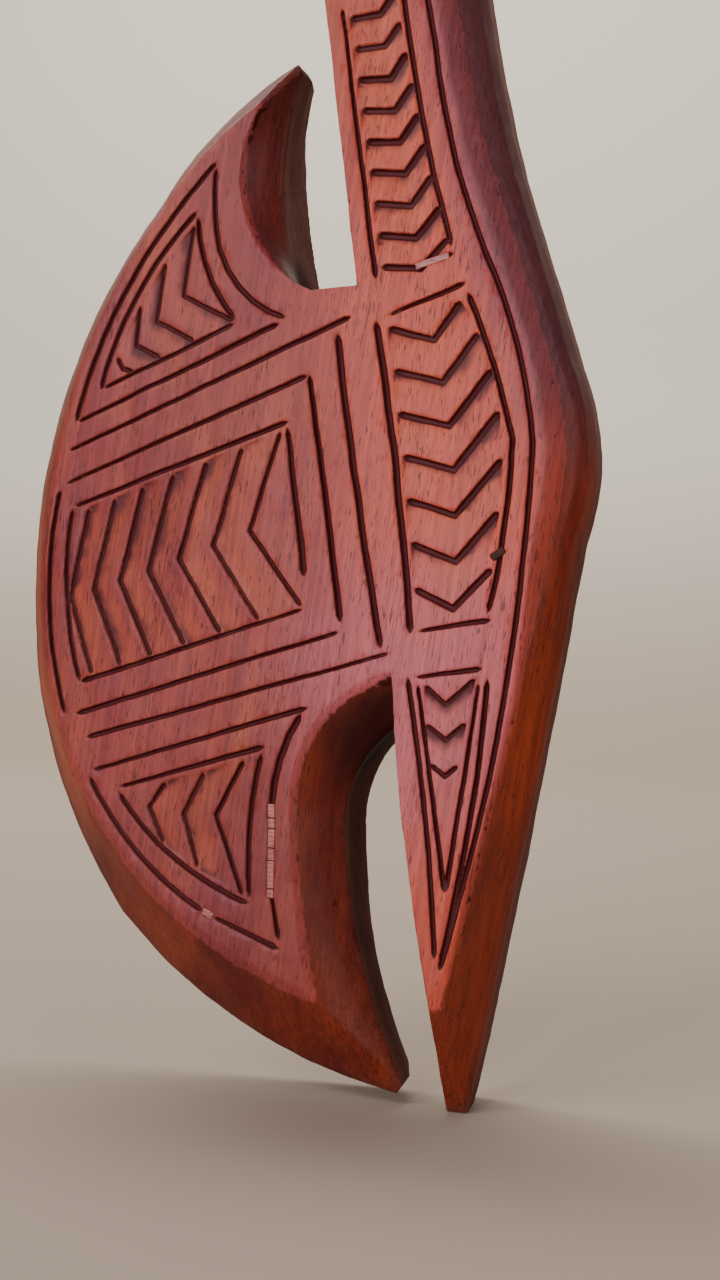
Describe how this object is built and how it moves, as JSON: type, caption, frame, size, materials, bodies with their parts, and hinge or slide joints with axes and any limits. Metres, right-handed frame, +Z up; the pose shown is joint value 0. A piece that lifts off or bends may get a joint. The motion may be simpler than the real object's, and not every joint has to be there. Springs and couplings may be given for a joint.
{
  "type": "carved wooden axe club",
  "caption": "Hand-carved hardwood club with a crescent axe blade, a pointed spike, an angled spine and a long handle, its flat face cut with chevron panels.",
  "frame": {"origin": "middle of the club's footprint, level with its lowest point, the end of the spike", "axes": "+Z up along the club with the handle at the top, +X from the blade towards the spine, +Y from the carved face towards the plain back"},
  "size_m": [0.181, 0.03, 0.4606],
  "materials": {
    "hardwood": "varnished red-brown hardwood, satin on the face and glossy on the bevels",
    "pale_filling": "pale pink wood under thin varnish",
    "grey_filling": "dull grey-brown filling"
  },
  "bodies": {
    "root": {"carved_club": "hardwood", "groove_slip_1": "pale_filling", "groove_slip_2": "pale_filling", "groove_slip_3": "pale_filling", "groove_slip_4": "pale_filling", "groove_slip_5": "pale_filling", "groove_slip_6": "pale_filling", "edge_groove_plug": "pale_filling", "chevron_slip": "pale_filling", "border_filler_block": "grey_filling"}
  },
  "joints": []
}
